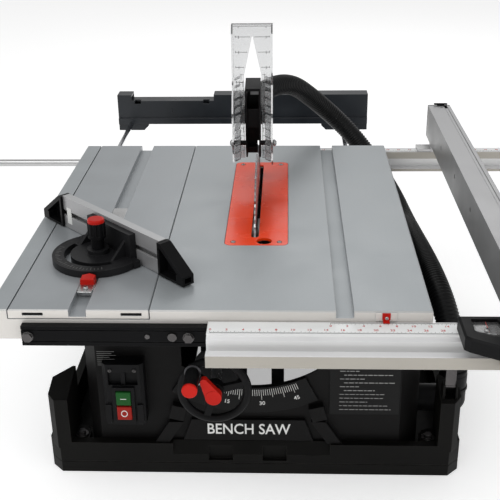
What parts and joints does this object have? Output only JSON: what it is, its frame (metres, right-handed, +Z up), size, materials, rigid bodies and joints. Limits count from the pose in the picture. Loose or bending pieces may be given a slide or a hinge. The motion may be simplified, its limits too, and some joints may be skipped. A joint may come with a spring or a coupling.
{
  "type": "table saw",
  "caption": "Bench table saw with sliding carriage and mitre gauge, rip fence on sliding rails, outfeed support, tilting blade with raised clear guard, and dust hose.",
  "frame": {"origin": "middle of the bench bolt pattern in the base's floor, at its underside, right below the blade's middle", "axes": "+Z up, +Y away from the user along the cut, +X to the user's right"},
  "size_m": [1.04, 1.135, 0.562],
  "materials": {
    "black_plastic": "fine grain",
    "rubber": "matte",
    "cabinet_black": "satin powder coat",
    "scale_black": "satin, white marks",
    "label": "satin, white marks",
    "green_button": "gloss",
    "red_button": "gloss",
    "table_grey": "painted satin",
    "carriage_grey": "ground satin",
    "insert_orange": "gloss",
    "rail_aluminium": "anodised satin",
    "guide_black": "painted satin",
    "steel": "satin",
    "chrome": "polished",
    "red_plastic": "gloss",
    "frame_dark": "satin",
    "arbor_casting": "cast",
    "motor_case": "painted satin",
    "clear_guard": "clear",
    "dust_hose": "ribbed satin"
  },
  "bodies": {
    "saw_base": {"base_tray": "black_plastic", "rubber_pads": "rubber", "cabinet": "cabinet_black", "bevel_scale": "scale_black", "rating_plate": "label", "switch_box": "black_plastic", "table_casting": "table_grey", "throat_insert": "insert_orange", "frame_screws": "steel", "front_rail_guide": "guide_black", "rear_guide_tube": "steel", "scale_pointer": "red_plastic", "carriage_guide_rods": "chrome", "outfeed_guides": "black_plastic", "trunnion_brackets": "frame_dark", "turbine_housing": "black_plastic", "dust_hose_lower": "dust_hose"},
    "turbine": {"turbine_impeller": "black_plastic"},
    "latch": {"side_latch": "chrome"},
    "start_key": {"start_button": "green_button"},
    "stop_key": {"stop_button": "red_button"},
    "rail_rack": {"front_rail": "rail_aluminium", "rear_rail": "rail_aluminium"},
    "rip_fence": {"fence_beam": "rail_aluminium", "fence_head": "black_plastic", "fence_rear_foot": "steel", "fence_end_cap": "black_plastic"},
    "fence_clamp": {"fence_lever": "black_plastic"},
    "carriage": {"sliding_table": "carriage_grey", "carriage_bearings": "black_plastic"},
    "mitre_slide_bar": {"mitre_bar": "steel", "mitre_pointer": "red_plastic"},
    "mitre_gauge": {"mitre_head": "guide_black", "mitre_fence": "rail_aluminium", "mitre_brackets": "black_plastic"},
    "mitre_lock": {"mitre_knob": "black_plastic", "mitre_knob_cap": "red_plastic"},
    "tilt": {"trunnions": "frame_dark", "tilt_frame": "frame_dark", "wheel_bracket": "black_plastic"},
    "lift_screw_body": {"lift_screw": "steel"},
    "handwheel_body": {"handwheel": "black_plastic", "wheel_shaft": "steel"},
    "crank": {"crank_knob": "black_plastic", "crank_knob_cap": "red_plastic"},
    "bevel_lock": {"bevel_lock_lever": "red_plastic"},
    "arbor_carriage": {"arbor_housing": "arbor_casting", "motor_housing": "motor_case", "drive_belt": "rubber", "blade_shroud": "black_plastic", "riving_knife": "steel", "guard_arm": "black_plastic", "dust_hose_upper": "dust_hose"},
    "blade_arbor": {"arbor_shaft": "steel", "blade_flanges": "steel", "saw_blade": "steel"},
    "motor_rotor": {"motor_armature": "steel"},
    "hood": {"guard_hood": "clear_guard"},
    "outfeed": {"outfeed_bar": "guide_black", "outfeed_rods": "chrome"}
  },
  "joints": [
    {"name": "bevel_tilt", "type": "hinge", "parent": "saw_base", "child": "tilt", "pos_m": [0, 0, 0.3], "axis": [0, -1, 0], "range_deg": [0, 45], "deforming": ["dust_hose_lower"]},
    {"name": "blade_height", "type": "slide", "parent": "tilt", "child": "arbor_carriage", "axis": [0, 0, 1], "range_m": [-0.028, 0], "deforming": ["dust_hose_upper"]},
    {"name": "blade_spin", "type": "hinge", "parent": "arbor_carriage", "child": "blade_arbor", "pos_m": [0, 0, 0.2525], "axis": [1, 0, 0], "continuous": true},
    {"name": "motor_spin", "type": "hinge", "parent": "arbor_carriage", "child": "motor_rotor", "pos_m": [0, 0, 0.182], "axis": [1, 0, 0], "continuous": true},
    {"name": "lift_screw_turn", "type": "hinge", "parent": "tilt", "child": "lift_screw_body", "pos_m": [-0.04718, -0.115, 0.2], "axis": [0, 0, 1], "range_deg": [-2521, 1]},
    {"name": "handwheel_turn", "type": "hinge", "parent": "tilt", "child": "handwheel_body", "pos_m": [-0.04718, -0.3, 0.17245], "axis": [0, 1, 0], "range_deg": [-2521, 1]},
    {"name": "crank_knob_spin", "type": "hinge", "parent": "handwheel_body", "child": "crank", "pos_m": [-0.07375, -0.36, 0.20301], "axis": [0, 1, 0], "continuous": true},
    {"name": "bevel_lock_turn", "type": "hinge", "parent": "tilt", "child": "bevel_lock", "pos_m": [-0.04718, -0.342, 0.17245], "axis": [0, 1, 0], "range_deg": [0, 60]},
    {"name": "carriage_slide", "type": "slide", "parent": "saw_base", "child": "carriage", "axis": [0, 1, 0], "range_m": [-0.12, 0.28]},
    {"name": "mitre_slide", "type": "slide", "parent": "carriage", "child": "mitre_slide_bar", "axis": [0, 1, 0], "range_m": [-0.1, 0.18]},
    {"name": "mitre_swivel", "type": "hinge", "parent": "mitre_slide_bar", "child": "mitre_gauge", "pos_m": [-0.212, -0.195, 0.305], "axis": [0, 0, 1], "range_deg": [-14, 104]},
    {"name": "mitre_knob_turn", "type": "hinge", "parent": "mitre_gauge", "child": "mitre_lock", "pos_m": [-0.212, -0.195, 0.33], "axis": [0, 0, 1], "range_deg": [-90, 180]},
    {"name": "rack_slide", "type": "slide", "parent": "saw_base", "child": "rail_rack", "axis": [-1, 0, 0], "range_m": [0, 0.23]},
    {"name": "fence_slide", "type": "slide", "parent": "rail_rack", "child": "rip_fence", "axis": [1, 0, 0], "range_m": [-0.265, 0.09]},
    {"name": "fence_clamp_turn", "type": "hinge", "parent": "rip_fence", "child": "fence_clamp", "pos_m": [0.329, -0.429, 0.2926], "axis": [-1, 0, 0], "range_deg": [0, 25]},
    {"name": "guard_raise", "type": "hinge", "parent": "arbor_carriage", "child": "hood", "pos_m": [0, 0.085, 0.375], "axis": [1, 0, 0], "range_deg": [0, 88]},
    {"name": "start_press", "type": "slide", "parent": "saw_base", "child": "start_key", "axis": [0, 1, 0], "range_m": [0, 0.003], "stiffness_N_per_m": 300, "springref_m": -0.002},
    {"name": "stop_press", "type": "slide", "parent": "saw_base", "child": "stop_key", "axis": [0, 1, 0], "range_m": [0, 0.003], "stiffness_N_per_m": 300, "springref_m": -0.002},
    {"name": "outfeed_slide", "type": "slide", "parent": "saw_base", "child": "outfeed", "axis": [0, 1, 0], "range_m": [-0.2, 0]},
    {"name": "turbine_spin", "type": "hinge", "parent": "saw_base", "child": "turbine", "pos_m": [0.2, -0.185, 0.09], "axis": [1, 0, 0], "continuous": true},
    {"name": "latch_turn", "type": "hinge", "parent": "saw_base", "child": "latch", "pos_m": [0.27, -0.2595, 0.14], "axis": [1, 0, 0], "range_deg": [0, 75]}
  ],
  "couplings": [
    {"joint": "motor_spin", "follows": "blade_spin", "ratio": 1.8571},
    {"joint": "lift_screw_turn", "follows": "blade_height", "rad_per_m": 1570.8},
    {"joint": "handwheel_turn", "follows": "blade_height", "rad_per_m": 1570.8}
  ]
}
